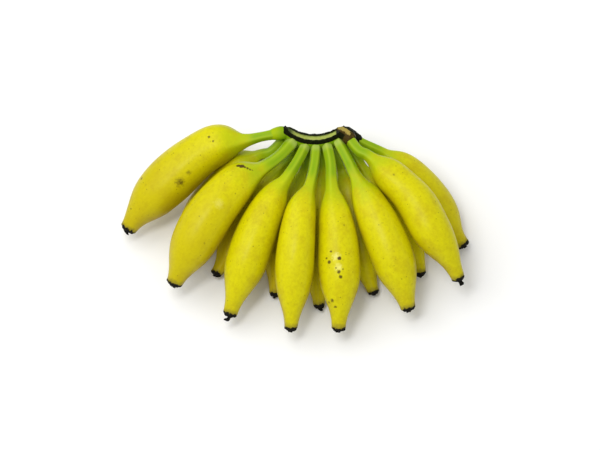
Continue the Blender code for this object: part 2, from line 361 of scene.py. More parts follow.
class StageLook(PropertyGroup):
    """The camera's, the floor's and the lights' sizes."""

    floor_colour: FloatVectorProperty(
        name="Floor", description="Colour of the floor", subtype="COLOR",
        default=(0.93, 0.93, 0.92), min=0.0, max=1.0,
    )
    floor_side: FloatProperty(
        name="Floor side", description="Length of the floor's side", default=12.0, unit="LENGTH",
    )
    camera_distance: FloatProperty(
        name="Camera distance", description="From the camera to the hand", default=4.0, unit="LENGTH",
    )
    view_width: FloatProperty(
        name="View width", description="Width of what the camera sees at the hand", default=0.48,
        unit="LENGTH",
    )
    key_power: FloatProperty(
        name="Key power", description="Power of the large soft lamp, in watts", default=9.0,
    )
    key_side: FloatProperty(
        name="Key side", description="Side of the large soft lamp", default=1.3, unit="LENGTH",
    )
    strip_power: FloatProperty(
        name="Strip power", description="Power of the narrower lamp overhead, in watts", default=4.5,
    )
    strip_width: FloatProperty(
        name="Strip width", description="Width of the narrower lamp", default=0.22, unit="LENGTH",
    )
    strip_length: FloatProperty(
        name="Strip length", description="Length of the narrower lamp", default=0.6, unit="LENGTH",
    )
    sky: FloatProperty(
        name="Sky", description="Strength of the even light from all round", default=0.68,
    )


# Places and paths


def drawn_point(across, up, height):
    """Return the place in metres of a point of the drawing that lies at a height over the table."""
    back = (up - height * math.cos(SIGHT_LEAN)) / math.sin(SIGHT_LEAN)
    return MM * Vector((across + DRAWING_ACROSS, back + DRAWING_BACK, height))


def drawn_place(place):
    """Return where a point is seen in the drawing, as millimetres across and up."""
    up = (place.y / MM - DRAWING_BACK) * math.sin(SIGHT_LEAN) + place.z / MM * math.cos(SIGHT_LEAN)
    return place.x / MM - DRAWING_ACROSS, up


def crown_matrix():
    """Return the crown's place: its own Y points into the stem, and its own Z along the stem."""
    place = MM * (Vector(CROWN_PLACE) + Vector((DRAWING_ACROSS, DRAWING_BACK, 0)))
    return Matrix.Translation(place) @ Matrix.Rotation(CROWN_TILT, 4, "X")


def round_stem(radius, angle, along):
    """Return a point round the stem, in the crown's own axes, in metres."""
    return MM * Vector((radius * math.sin(angle), STEM_RADIUS - radius * math.cos(angle), along))


def root_point(row, number):
    """Return where a finger's stalk starts, inside the crown."""
    angle = math.radians(STALK_ANGLES[row][number])
    along = ROW_HALF_GAP if row == "front" else -ROW_HALF_GAP
    return crown_matrix() @ round_stem(ROOT_RADIUS_FROM_STEM, angle, along)


def smooth_span(before, start, end, after, share):
    """Return a point between start and end on a smooth curve through all four points."""
    return 0.5 * (
        2 * start
        + (end - before) * share
        + (2 * before - 5 * start + 4 * end - after) * share ** 2
        + (3 * start - before - 3 * end + after) * share ** 3
    )


def finger_path(row, number):
    """Return the finger's middle line, from the root to the tip, with even samples in every span."""
    points = [root_point(row, number)] + [drawn_point(*point) for point in FINGERS[row][number][1:]]
    ends = [2 * points[0] - points[1], *points, 2 * points[-1] - points[-2]]
    path = []
    for before, start, end, after in zip(ends, ends[1:], ends[2:], ends[3:]):
        path += [smooth_span(before, start, end, after, i / SPAN_SAMPLES) for i in range(SPAN_SAMPLES)]
    return path + [points[-1]]


def path_length(path):
    """Return the length of a path."""
    return sum((end - start).length for start, end in zip(path, path[1:]))


def between(low, high, value):
    """Return how far value is from low to high, held between 0 and 1 and eased at both ends."""
    share = min(max((value - low) / (high - low), 0.0), 1.0)
    return share * share * (3 - 2 * share)


# Work in edit mode


def deselect():
    """Leave edit mode and deselect everything."""
    if bpy.context.object and bpy.context.object.mode != "OBJECT":
        bpy.ops.object.mode_set(mode="OBJECT")
    bpy.ops.object.select_all(action="DESELECT")


def choose(piece):
    """Make a piece the only selected one, and active."""
    deselect()
    piece.select_set(True)
    bpy.context.view_layer.objects.active = piece


def apply_modifier(piece, name):
    """Apply one of the piece's modifiers."""
    choose(piece)
    bpy.ops.object.modifier_apply(modifier=name)


def apply_place(piece):
    """Put the piece's place into its mesh, so that its object stands at the origin."""
    choose(piece)
    bpy.ops.object.transform_apply(location=True, rotation=True, scale=True)


def smooth_over(piece, levels):
    """Round a piece off with an applied Subdivision Surface."""
    smooth = piece.modifiers.new("round off", "SUBSURF")
    smooth.levels = levels
    smooth.render_levels = levels
    apply_modifier(piece, smooth.name)


def edit_whole(piece):
    """Go into edit mode with all of a piece selected."""
    choose(piece)
    bpy.ops.object.mode_set(mode="EDIT")
    bpy.ops.mesh.select_all(action="SELECT")


def point_outwards(piece):
    """Turn all the faces of a closed piece outwards."""
    edit_whole(piece)
    bpy.ops.mesh.normals_make_consistent(inside=False)
    bpy.ops.object.mode_set(mode="OBJECT")


def shade_smooth(piece):
    """Shade a piece smooth all over."""
    choose(piece)
    bpy.ops.object.shade_smooth()


def draw_straight(name, sides, rings, spur=()):
    """Extrude a closed round piece up Z through rings of (height, radius), then steps of a spur."""
    deselect()
    bpy.ops.mesh.primitive_circle_add(vertices=sides, radius=rings[0][1], fill_type="NGON")
    piece = bpy.context.object
    piece.name = name
    edit_whole(piece)
    for (height, radius), (next_height, next_radius) in zip(rings, rings[1:]):
        rise = (0, 0, next_height - height)
        bpy.ops.mesh.extrude_region_move(TRANSFORM_OT_translate={"value": rise})
        growth = next_radius / radius
        bpy.ops.transform.resize(value=(growth, growth, 1))
    for move, growth in spur:
        bpy.ops.mesh.extrude_region_move(TRANSFORM_OT_translate={"value": move})
        bpy.ops.transform.resize(value=(growth, growth, growth))
    bpy.ops.object.mode_set(mode="OBJECT")
    point_outwards(piece)
    return piece


def bend_along(piece, path):
    """Bend a straight piece along a path that is as long as it is."""
    curve = bpy.data.curves.new("middle_line", "CURVE")
    curve.dimensions = "3D"
    curve.twist_mode = "MINIMUM"
    spline = curve.splines.new("POLY")
    spline.points.add(len(path) - 1)
    for point, place in zip(spline.points, path):
        point.co = (*place, 1.0)
    line = bpy.data.objects.new("middle_line", curve)
    bpy.context.scene.collection.objects.link(line)
    bend = piece.modifiers.new("bend", "CURVE")
    bend.object = line
    bend.deform_axis = "POS_Z"
    apply_modifier(piece, bend.name)
    bpy.data.objects.remove(line)


# Shader building


def add_node(tree, kind, values=(), **settings):
    """Add a node, with its settings, and its inputs set or linked from (input, value) pairs."""
    node = tree.nodes.new(kind)
    for name, value in settings.items():
        setattr(node, name, value)
    for socket, value in dict(values).items():
        if isinstance(value, bpy.types.NodeSocket):
            tree.links.new(value, node.inputs[socket])
        else:
            node.inputs[socket].default_value = value
    return node


def math_node(tree, operation, *values):
    """Add a Math node and return its output."""
    return add_node(tree, "ShaderNodeMath", enumerate(values), operation=operation).outputs[0]


def product(tree, *factors):
    """Multiply outputs or numbers and return the output."""
    result = factors[0]
    for factor in factors[1:]:
        result = math_node(tree, "MULTIPLY", result, factor)
    return result


def map_range(tree, value, low, high, start=0.0, end=1.0):
    """Map a value between low and high to start and end, eased, and return the output."""
    node = add_node(
        tree, "ShaderNodeMapRange",
        {"Value": value, "From Min": low, "From Max": high, "To Min": start, "To Max": end},
        interpolation_type="SMOOTHSTEP",
    )
    return node.outputs["Result"]


def full(colour):
    """Return an output as it is, and three numbers as a colour with full alpha."""
    return colour if isinstance(colour, bpy.types.NodeSocket) else (*colour, 1.0)


def mix_colour(tree, share, first, second):
    """Mix two colours, each an output or three numbers, and return the output."""
    values = {"Factor": share, 6: full(first), 7: full(second)}
    return add_node(tree, "ShaderNodeMix", values, data_type="RGBA").outputs[2]


def mix_number(tree, share, first, second):
    """Mix two numbers and return the output."""
    values = {"Factor": share, "A": first, "B": second}
    return add_node(tree, "ShaderNodeMix", values, data_type="FLOAT").outputs[0]


def lay_over(tree, colour, layers):
    """Lay (share, colour) layers over a colour, one after the other, and return the output."""
    for share, layer in layers:
        colour = mix_colour(tree, share, colour, layer)
    return colour


def noise_node(tree, vector, scale, detail=3.0, roughness=0.5):
    """Add a Noise Texture and return its value."""
    node = add_node(
        tree, "ShaderNodeTexNoise",
        {"Vector": vector, "Scale": scale, "Detail": detail, "Roughness": roughness},
    )
    return node.outputs["Fac"]


def stretched(tree, vector, along):
    """Return a vector that runs slower along Z, so that a pattern is drawn out along the finger."""
    node = add_node(tree, "ShaderNodeMapping", {"Vector": vector, "Scale": (1.0, 1.0, along)})
    return node.outputs["Vector"]


def shifted(tree, vector, offset):
    """Return a vector moved by the same amount along all three axes."""
    node = add_node(tree, "ShaderNodeVectorMath", {0: vector, 1: offset}, operation="ADD")
    return node.outputs["Vector"]


def read_attribute(tree, name, output="Fac"):
    """Read one of the mesh's own attributes and return the output."""
    return add_node(tree, "ShaderNodeAttribute", attribute_name=name).outputs[output]


def start_group(name, inputs, outputs):
    """Return a new shader node group with its input and output nodes."""
    group = bpy.data.node_groups.new(name, "ShaderNodeTree")
    for socket, kind, default in inputs:
        made = group.interface.new_socket(socket, in_out="INPUT", socket_type=kind)
        made.default_value = default
    for socket, kind in outputs:
        group.interface.new_socket(socket, in_out="OUTPUT", socket_type=kind)
    return group, group.nodes.new("NodeGroupInput").outputs, group.nodes.new("NodeGroupOutput").inputs


def skin_group():
    """Build the group that paints a finger's skin from its stalk to its blossom end, with painted shade on
    its undersides and painted highlights on its stalk.
    """
    look = bpy.context.scene.banana_peel
    group, given, out = start_group(
        "banana_skin",
        [(name, "NodeSocketFloat", 0.0) for name in ("Offset", "Greenness", "Ochre")],
        (("Color", "NodeSocketColor"), ("Roughness", "NodeSocketFloat"), ("Height", "NodeSocketFloat")),
    )
    grain = PEEL_GRAIN
    straight = shifted(group, read_attribute(group, "straight", "Vector"), given["Offset"])
    streaks = stretched(group, straight, 0.12)
    share = read_attribute(group, "share")

    clouds = noise_node(group, straight, grain["clouds"], 2.0)
    ripeness = math_node(group, "ADD", share, math_node(group, "MULTIPLY_ADD", clouds, 0.16, -0.08))
    ripeness = math_node(group, "SUBTRACT", ripeness, given["Greenness"])
    fine_streaks = noise_node(group, streaks, grain["streaks"], 3.0)
    blotches = noise_node(group, straight, grain["blotches"], 4.0)
    mottled = noise_node(group, straight, grain["mottled"], 5.0, 0.65)
    off_stalk = map_range(group, share, -0.1, 0.2)
    # Painted shade: the sides that look away from the sky, stored as low, are darkened towards tan.
    low = product(
        group, read_attribute(group, "low"), map_range(group, share, -0.2, 0.25, 0.35, 1.0),
        map_range(group, blotches, 0.2, 0.6, 0.26, 0.6),
    )

    specks = add_node(group, "ShaderNodeTexVoronoi", {"Vector": straight, "Scale": grain["specks"]})
    chosen = add_node(group, "ShaderNodeSeparateColor", {"Color": specks.outputs["Color"]}).outputs
    speck = product(
        group, map_range(group, specks.outputs["Distance"], 0.10, 0.22, 1.0, 0.0),
        math_node(group, "GREATER_THAN", chosen[0], 0.66), map_range(group, share, 0.02, 0.2),
    )

    frayed = noise_node(group, straight, grain["frayed"], 4.0)
    dry_share = math_node(group, "ADD", share, math_node(group, "MULTIPLY_ADD", frayed, 0.05, -0.025))
    dry = map_range(group, dry_share, 0.966, 0.976)

    green = mix_colour(group, map_range(group, ripeness, -0.30, 0.02), look.stalk_green, look.neck_green)
    colour = lay_over(group, green, (
        (map_range(group, ripeness, 0.0, 0.22), look.ripe_yellow),
        (map_range(group, ripeness, 0.80, 1.0), look.end_yellow),
        (map_range(group, fine_streaks, 0.35, 0.75, 0.0, 0.16), STREAK_OLIVE),
        (product(group, map_range(group, blotches, 0.45, 0.72, 0.0, 0.55),
                 map_range(group, share, -0.3, 0.1)), BLOTCH_OCHRE),
        (product(group, map_range(group, mottled, 0.48, 0.68, 0.0, 0.28), off_stalk), MOTTLE_DULL),
        (product(group, map_range(group, mottled, 0.50, 0.32, 0.0, 0.28), off_stalk), MOTTLE_BRIGHT),
        (product(group, map_range(group, share, 0.1, 0.7), given["Ochre"]), TURNED_OCHRE),
        (low, UNDERSIDE_PAINTED_SHADE),
        # Painted highlight on the crests of the stalk's ridges.
        (product(group, read_attribute(group, "crest"), map_range(group, share, -0.35, 0.10, 0.5, 0.0)),
         RIDGE_PAINTED_HIGHLIGHT),
        # Painted highlight on the tops of the stalks, next to the crown.
        (map_range(group, share, -0.88, -0.74, 0.32, 0.0), STALK_TOP_PAINTED_HIGHLIGHT),
        (product(group, speck, chosen[1], 0.6), look.bruise_brown),
        (map_range(group, dry_share, 0.935, 0.970, 0.0, 0.7), WITHERED_OLIVE),
        (dry, look.blossom_black),
    ))
    group.links.new(colour, out["Color"])

    waxy = map_range(group, clouds, 0.3, 0.7, look.roughness - 0.05, look.roughness + 0.06)
    group.links.new(mix_number(group, dry, waxy, 0.85), out["Roughness"])

    pores = noise_node(group, straight, grain["pores"], 3.0)
    lines = noise_node(group, streaks, grain["pores"], 2.0)
    height = math_node(group, "MULTIPLY_ADD", pores, 0.25, product(group, lines, 0.6))
    height = math_node(group, "SUBTRACT", height, product(group, speck, 0.3))
    crust = noise_node(group, straight, grain["crust"], 6.0, 0.7)
    height = math_node(group, "MULTIPLY_ADD", product(group, crust, dry), 4.0, height)
    group.links.new(height, out["Height"])


def mark_group():
    """Build the group that makes a mask for one spot, scar, bruise or painted highlight at a place on the
    skin.
    """
    group, given, out = start_group(
        "banana_mark",
        (
            ("Centre", "NodeSocketVector", (0.0, 0.0, 0.0)),
            ("Radius", "NodeSocketFloat", 0.002),
            ("Softness", "NodeSocketFloat", 0.3),
            ("Raggedness", "NodeSocketFloat", 0.5),
        ),
        (("Mask", "NodeSocketFloat"),),
    )
    place = add_node(group, "ShaderNodeTexCoord").outputs["Object"]
    rough = noise_node(group, place, PEEL_GRAIN["marks"], 4.0, 0.6)
    away = add_node(group, "ShaderNodeVectorMath", {0: place, 1: given["Centre"]}, operation="DISTANCE")
    reach = math_node(group, "DIVIDE", away.outputs["Value"], given["Radius"])
    uneven = product(group, math_node(group, "SUBTRACT", rough, 0.5), given["Raggedness"])
    reach = math_node(group, "MULTIPLY_ADD", uneven, 2.0, reach)
    inner = math_node(group, "SUBTRACT", 1.0, given["Softness"])
    mask = add_node(
        group, "ShaderNodeMapRange",
        {"Value": reach, "From Min": inner, "From Max": 1.0, "To Min": 1.0, "To Max": 0.0},
    )
    group.links.new(mask.outputs["Result"], out["Mask"])


def start_material(name, specular):
    """Return a new material with its tree and its Principled shader."""
    material = bpy.data.materials.new(name)
    material.use_nodes = True
    shader = material.node_tree.nodes["Principled BSDF"]
    shader.inputs["Specular IOR Level"].default_value = specular
    return material, material.node_tree, shader


def link_bump(tree, shader, height, strength, distance):
    """Let a height raise the shader's surface."""
    bump = add_node(tree, "ShaderNodeBump", {"Height": height, "Strength": strength, "Distance": distance})
    tree.links.new(bump.outputs["Normal"], shader.inputs["Normal"])


def use_group(tree, group_name, **values):
    """Place a node group in a tree."""
    node = tree.nodes.new("ShaderNodeGroup")
    node.node_tree = bpy.data.node_groups[group_name]
    for socket, value in values.items():
        node.inputs[socket].default_value = value
    return node


def peel_material(name, seed, greenness, ochre, marks):
    """Return one finger's skin, with that finger's own marks as (place, radius, finish, colour)."""
    material, tree, shader = start_material(name, PEEL_SPECULAR)
    skin = use_group(tree, "banana_skin", Offset=seed * PATTERN_STEP, Greenness=greenness, Ochre=ochre)
    colour = skin.outputs["Color"]
    for centre, radius, (softness, ragged, strength), mark_colour in marks:
        mark = use_group(
            tree, "banana_mark", Centre=centre, Radius=radius, Softness=softness, Raggedness=ragged,
        )
        colour = mix_colour(tree, product(tree, mark.outputs["Mask"], strength), colour, mark_colour)
    tree.links.new(colour, shader.inputs["Base Color"])
    tree.links.new(skin.outputs["Roughness"], shader.inputs["Roughness"])
    link_bump(tree, shader, skin.outputs["Height"], 0.25, 0.0002)
    return material


def crown_material():
    """Return the crown's skin, with its dry rim, its fibrous cut face and its withered end."""
    peel = bpy.context.scene.banana_peel
    look = bpy.context.scene.banana_crown
    grain = CROWN_GRAIN
    material, tree, shader = start_material("crown_skin", CROWN_SPECULAR)
    place = add_node(tree, "ShaderNodeTexCoord").outputs["Object"]
    cut, shade, rim, yellowed, withered, charred, golden = [
        read_attribute(tree, name) for name in CROWN_MARKS
    ]
    clouds = noise_node(tree, place, grain["clouds"], 4.0)
    ragged = noise_node(tree, place, grain["ragged"], 5.0, 0.65)
    ragged = math_node(tree, "MULTIPLY_ADD", ragged, 0.7, -0.35)
    torn = noise_node(tree, place, grain["torn"], 4.0, 0.6)
    torn = math_node(tree, "MULTIPLY_ADD", torn, 2.6, -1.3)

    green = lay_over(tree, peel.stalk_green, (
        (map_range(tree, clouds, 0.35, 0.7), CROWN_GREEN),
        (product(tree, yellowed, 0.7), peel.neck_green),
    ))
    streaky = noise_node(tree, place, grain["streaky"], 3.0)
    black = mix_colour(tree, map_range(tree, streaky, 0.5, 0.75, 0.0, 0.35), look.rim_black, RIM_MOSS)
    rim_share = map_range(tree, math_node(tree, "ADD", rim, ragged), 0.35, 0.6)

    fibres = add_node(tree, "ShaderNodeTexVoronoi", {"Vector": place, "Scale": grain["fibres"]})
    dots = map_range(tree, fibres.outputs["Distance"], 0.1, 0.35, 0.6, 0.0)
    cream = lay_over(tree, look.cut_cream, (
        (dots, FIBRE_GREEN),
        (map_range(tree, clouds, 0.45, 0.75, 0.0, 0.5), CUT_BUFF),
        (shade, CUT_SHADE),
    ))

    golden = map_range(tree, math_node(tree, "ADD", torn, golden), 0.3, 0.6)
    charred = map_range(tree, math_node(tree, "MULTIPLY_ADD", torn, 0.5, charred), 0.35, 0.65)
    dried = lay_over(tree, DRIED_BROWN, ((golden, look.dry_tan), (charred, black)))
    withered = map_range(tree, math_node(tree, "MULTIPLY_ADD", ragged, 0.5, withered), 0.35, 0.65)
    colour = lay_over(tree, green, ((rim_share, black), (cut, cream), (withered, dried)))
    tree.links.new(colour, shader.inputs["Base Color"])
    tree.links.new(mix_number(tree, rim_share, 0.45, 0.7), shader.inputs["Roughness"])

    crust = product(tree, noise_node(tree, place, grain["crust"], 6.0, 0.7), rim_share)
    height = math_node(tree, "MULTIPLY_ADD", crust, 2.0, product(tree, dots, cut))
    link_bump(tree, shader, height, 0.6, 0.0004)
    return material


# Fingers


def swell(share, middle, reach):
    """Return how much of a swelling there is at a share: 1 at its middle, easing to 0 at its reach."""
    away = min(abs(share - middle) / reach, 1.0)
    return math.cos(away * math.pi / 2) ** 2


def finger_rings(row, number, stalk_length, body_length):
    """Return the straight finger's rings as (height, radius)."""
    flare = ROOT_FLARE.get(f"{row}_finger_{number + 1}", 0.0)
    belly, stalk, shoulder, taper = FINGERS[row][number][0]
    neck_radius = GIRTH[0][1] * belly
    rings = []
    for share, to_stalk, to_neck in STALK_STATIONS:
        radius = ROOT_RADIUS + (stalk - ROOT_RADIUS) * to_stalk + (neck_radius - stalk) * to_neck
        radius += flare * (1 - between(0.1, 0.5, share))
        rings.append((share * stalk_length, radius * MM))
    for share, girth in GIRTH:
        girth += shoulder * swell(share, SHOULDER_SHARE, SHOULDER_REACH)
        girth += taper * swell(share, TAPER_SHARE, TAPER_REACH)
        rings.append((stalk_length + share * body_length, girth * belly * MM))
    return rings


def add_marks(mesh, names):
    """Add a number for each point of a mesh under every name, and return their data."""
    for name in names:
        mesh.attributes.new(name, "FLOAT", "POINT")
    return [mesh.attributes[name].data for name in names]


def raise_ridges(finger, stalk_length, body_length, turn):
    """Raise the soft ridges that run along a straight finger, and store where each point is on it."""
    shape = bpy.context.scene.banana_shape
    mesh = finger.data
    mesh.attributes.new("straight", "FLOAT_VECTOR", "POINT")
    shares, crests = add_marks(mesh, ("share", "crest"))
    straight = mesh.attributes["straight"].data
    for vertex in mesh.vertices:
        place = vertex.co.copy()
        share = (place.z - stalk_length) / (body_length if place.z > stalk_length else stalk_length)
        share = min(share, 1.0)
        crest = (0.5 + 0.5 * math.cos(shape.ridges * math.atan2(place.y, place.x))) ** 1.5
        straight[vertex.index].vector = place
        shares[vertex.index].value = share
        crests[vertex.index].value = crest
        ridge = shape.stalk_ridge + (shape.belly_ridge - shape.stalk_ridge) * between(0.0, 0.35, share)
        ridge += shape.tip_ridge * between(0.75, 0.92, share)
        girth = shape.fullness - 0.4 * ridge + ridge * crest
        vertex.co.x = place.x * girth
        vertex.co.y = place.y * girth
    edit_whole(finger)
    bpy.ops.transform.rotate(value=turn, orient_axis="Z", center_override=(0, 0, 0))
    bpy.ops.object.mode_set(mode="OBJECT")


def roughen(finger, seed):
    """Let the skin swell and sink a little, and crumple the dry blossom end."""
    shape = bpy.context.scene.banana_shape
    mesh = finger.data
    shares = mesh.attributes["share"].data
    shift = Vector((seed * 7.3, seed * 3.1, seed * 5.7))
    moves = []
    for vertex in mesh.vertices:
        share = shares[vertex.index].value
        wave = noise.noise(vertex.co * WAVE_SCALE + shift) * between(0.1, 0.4, share) - 0.5
        crumple = noise.noise(vertex.co * CRUMPLE_SCALE + shift) * between(0.955, 0.985, share)
        moves.append(vertex.normal * (wave * shape.unevenness + crumple * shape.crumpling))
    move_points(mesh, moves)


def move_points(mesh, moves):
    """Move every point of a mesh by its own step."""
    for vertex, move in zip(mesh.vertices, moves):
        vertex.co += move


def mark_painted_underside_shade(finger):
    """Store how far each point of the bent finger looks away from the sky, for the painted shade on its
    undersides.
    """
    heights = [vertex.normal.z for vertex in finger.data.vertices]
    # Painted shade: how much each point is darkened towards tan, more where it faces down.
    low, = add_marks(finger.data, ("low",))
    for item, height in zip(low, heights):
        item.value = 1 - between(-0.25, 0.68, height)


def press_on_table(piece):
    """Flatten what would reach below the table, where the fruit gives way."""
    for vertex in piece.data.vertices:
        vertex.co.z = max(vertex.co.z, TABLE_GAP)


def seen_point(piece, across, up):
    """Return the point of a piece that is seen at a place of the drawing, if there is one."""
    above = drawn_point(across, up, SIGHT_HEIGHT)
    sight = (drawn_point(across, up, 0) - above).normalized()
    hit, place, _, _ = piece.ray_cast(above, sight)
    return place if hit else None


# Dry remains of the flower that stick out at some blossom ends, in two steps: how much each step grows,
# and then which way round the tip it goes, and how far sideways and outwards, in millimetres.
SPUR_GROWTH = (1.6, 0.8)
NO_SPUR = (0.0, 0.3, 0.2)
SPURS = {
    "front_finger_1": (0.6, 1.2, 0.6),
    "front_finger_3": (4.1, 0.9, 1.8),
    "front_finger_7": (4.35, 1.2, 1.8),
    "back_finger_3": (1.0, 0.5, 0.6),
    "back_finger_4": (4.0, 0.6, 0.8),
}

# Marks on the skin: place across and up the drawing and radius in millimetres, softness, raggedness and
# strength.
MARKS = {
    "front_finger_1": (
        (-68.5, 72.5, 1.3, 0.5, 0.8, 0.8),
        (-65.0, 69.0, 1.1, 0.6, 0.8, 0.8),
        (-91.5, 36.5, 5.0, 0.9, 1.0, 0.75),
        (-90.5, 35.5, 2.0, 0.6, 0.9, 0.6),
        (-84.5, 44.0, 2.6, 0.8, 0.9, 0.5),
        (-122.5, 39.5, 1.6, 0.6, 1.0, 0.8),
        (-131.0, 15.0, 1.0, 0.6, 0.8, 0.7),
    ),
    "front_finger_2": (
        (-44.5, 49.3, 2.3, 0.3, 0.5, 1.0),
        (-42.0, 49.0, 2.7, 0.3, 0.5, 1.0),
        (-39.5, 48.2, 1.5, 0.4, 0.7, 0.9),
        (-37.5, 47.2, 1.2, 0.4, 0.7, 0.9),
        (-35.5, 46.2, 1.1, 0.4, 0.7, 0.8),
        (-33.5, 45.6, 0.9, 0.5, 0.7, 0.6),
        (-47.0, 27.0, 1.0, 0.7, 0.8, 0.5),
        (-71.5, -12.5, 1.3, 0.8, 0.8, 0.5),
        (-75.5, 9.0, 0.9, 0.7, 0.8, 0.5),
    ),
    "front_finger_5": (
        (27.5, -27.5, 1.7, 0.4, 0.6, 0.9),
        (35.5, -24.5, 1.9, 0.4, 0.6, 1.0),
        (25.5, -24.5, 1.1, 0.5, 0.7, 0.8),
        (29.0, -19.0, 1.2, 0.5, 0.7, 0.8),
        (35.0, -35.0, 1.9, 0.5, 0.8, 0.9),
        (36.5, -39.0, 1.7, 0.5, 0.8, 0.9),
        (33.0, -32.0, 1.0, 0.5, 0.7, 0.7),
        (38.5, -33.0, 0.9, 0.5, 0.7, 0.7),
        (39.5, 2.0, 1.0, 0.7, 0.8, 0.5),
        (30.0, -58.0, 2.0, 0.5, 0.9, 0.8),
        (27.5, -59.5, 1.4, 0.5, 0.9, 0.7),
        (32.5, -63.0, 1.5, 0.5, 0.9, 0.8),
    ),
    "front_finger_7": (
        (79.0, 42.0, 1.2, 0.6, 0.8, 0.6),
    ),
}
# Painted highlights: pale patches of glare laid on the skin, given in the same way.
PAINTED_HIGHLIGHTS = {
    "front_finger_5": (
        (33.0, -23.0, 4.0, 0.9, 0.9, 0.6),
        (35.0, -31.5, 3.8, 0.9, 0.9, 0.6),
    ),
    "front_finger_2": ((-60.0, 19.0, 5.0, 1.0, 0.8, 0.25),),
}
# How far some fingers have turned ochre towards their blossom ends, and how far all the others have.
SLIGHT_OCHRE = 0.08
OCHRE = {
    "front_finger_1": 0.5,
    "front_finger_2": 0.48,
    "front_finger_3": 0.12,
    "back_finger_1": 0.6,
    "back_finger_2": 0.7,
    "back_finger_3": 0.7,
    "back_finger_4": 0.3,
    "back_finger_7": 0.3,
}


def make_finger(row, number):
    """Make one finger, skin, marks and all, in place of its plain solid."""
    name = f"{row}_finger_{number + 1}"
    seed = number + 1 + (20 if row == "back" else 0)
    path = finger_path(row, number)
    neck = NECK_POINT * SPAN_SAMPLES
    stalk_length = path_length(path[:neck + 1])
    body_length = path_length(path[neck:])
    shape = bpy.context.scene.banana_shape
    turn, sideways, outwards = SPURS.get(name, NO_SPUR)
    step = MM * Vector((sideways * math.cos(turn), sideways * math.sin(turn), outwards))
    finger = draw_straight(
        f"{name}_skin", shape.sides, finger_rings(row, number, stalk_length, body_length),
        [(step, growth) for growth in SPUR_GROWTH],
    )
    raise_ridges(finger, stalk_length, body_length, turn=TURN_STEP * seed)
    smooth_over(finger, 2)
    roughen(finger, seed)
    bend_along(finger, path)
    mark_painted_underside_shade(finger)
    press_on_table(finger)
    shade_smooth(finger)
    look = bpy.context.scene.banana_peel
    marks = []
    # The painted highlights are laid first, then the brown marks.
    for table, colour in ((PAINTED_HIGHLIGHTS, look.painted_highlight_pale), (MARKS, look.bruise_brown)):
        for across, up, radius, *finish in table.get(name, ()):
            centre = seen_point(finger, across, up)
            if centre:
                marks.append((centre, radius * MM, finish, colour))
    greenness = random.Random(seed).uniform(-0.03, 0.03)
    ochre = OCHRE.get(name, SLIGHT_OCHRE)
    finger.data.materials.clear()
    finger.data.materials.append(peel_material(f"peel_{name}", seed, greenness, ochre, marks))
    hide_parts(name)
    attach(finger, "root")
    return finger


# Crown


def spin_pad():
    """Spin the crown's round section about the stem, thinner towards both ends."""
    deselect()
    start = round_stem(PAD_ARC_RADIUS, -PAD_HALF_ANGLE, 0)
    bpy.ops.mesh.primitive_circle_add(
        vertices=PAD_SIDES, radius=PAD_RADIUS * MM, fill_type="NGON", location=start,
        rotation=(0, math.pi / 2, -PAD_HALF_ANGLE),
    )
    pad = bpy.context.object
    pad.name = "crown_pad"
    edit_whole(pad)
    bpy.ops.mesh.spin(
        steps=PAD_STEPS, angle=2 * PAD_HALF_ANGLE, center=(0, STEM_RADIUS * MM, 0), axis=(0, 0, -1),
    )
    bpy.ops.object.mode_set(mode="OBJECT")
    apply_place(pad)
    point_outwards(pad)
    for vertex in pad.data.vertices:
        angle = stem_angle(vertex.co)
        middle = round_stem(PAD_ARC_RADIUS, angle, 0)
        vertex.co = middle + (vertex.co - middle) * pad_radius(angle) / PAD_RADIUS
    return pad


def stem_angle(place):
    """Return a point's angle round the stem, in the crown's own axes."""
    return math.atan2(place.x, STEM_RADIUS * MM - place.y)


def face_depth(place):
    """Return how deep a point lies behind the cut face, in the crown's own axes."""
    return math.hypot(place.x, STEM_RADIUS * MM - place.y) - STEM_RADIUS * MM


def pad_radius(angle):
    """Return the radius of the pad's section at an angle round the stem, in millimetres."""
    return PAD_RADIUS + (PAD_END_RADIUS - PAD_RADIUS) * (angle / PAD_HALF_ANGLE) ** 6


def cut_by_stem(pad):
    """Cut the hollow face that the round stem leaves in the crown."""
    deselect()
    bpy.ops.mesh.primitive_cylinder_add(
        vertices=STEM_SIDES, radius=STEM_RADIUS * MM, depth=6 * PAD_RADIUS * MM,
        location=(0, STEM_RADIUS * MM, 0),
    )
    stem = bpy.context.object
    cut = pad.modifiers.new("cut", "BOOLEAN")
    cut.operation = "DIFFERENCE"
    cut.object = stem
    apply_modifier(pad, cut.name)
    bpy.data.objects.remove(stem)


def make_lobe(row, number, stations):
    """Make a lobe of the crown round one stalk."""
    lobe = draw_straight("lobe", LOBE_SIDES, [(height * MM, radius * MM) for height, radius in stations])
    edit_whole(lobe)
    bpy.ops.transform.translate(value=(0, 0, stations[0][0] * MM))
    bpy.ops.object.mode_set(mode="OBJECT")
    path = finger_path(row, number)
    lead = (path[0] - path[1]).normalized() * LOBE_LEAD * MM
    bend_along(lobe, [path[0] + lead, *path])
    return lobe


def grow_together(pad, lobes):
    """Join the lobes with the pad and grow them together in one skin."""
    look = bpy.context.scene.banana_crown
    choose(pad)
    for lobe in lobes:
        lobe.select_set(True)
    bpy.ops.object.join()
    grow = pad.modifiers.new("grow together", "REMESH")
    grow.mode = "VOXEL"
    grow.voxel_size = look.voxel
    apply_modifier(pad, grow.name)


def relax_skin(pad):
    """Smooth the joints between pad and lobes, but keep the rim of the cut crisp."""
    to_own = crown_matrix().inverted()
    soft = pad.vertex_groups.new(name="soft")
    for vertex in pad.data.vertices:
        depth = face_depth(to_own @ vertex.co)
        soft.add([vertex.index], 0.15 + 0.85 * between(0.001, 0.004, depth), "REPLACE")
    relax = pad.modifiers.new("relax", "SMOOTH")
    relax.factor = 0.5
    relax.iterations = RELAX_ROUNDS
    relax.vertex_group = soft.name
    apply_modifier(pad, relax.name)


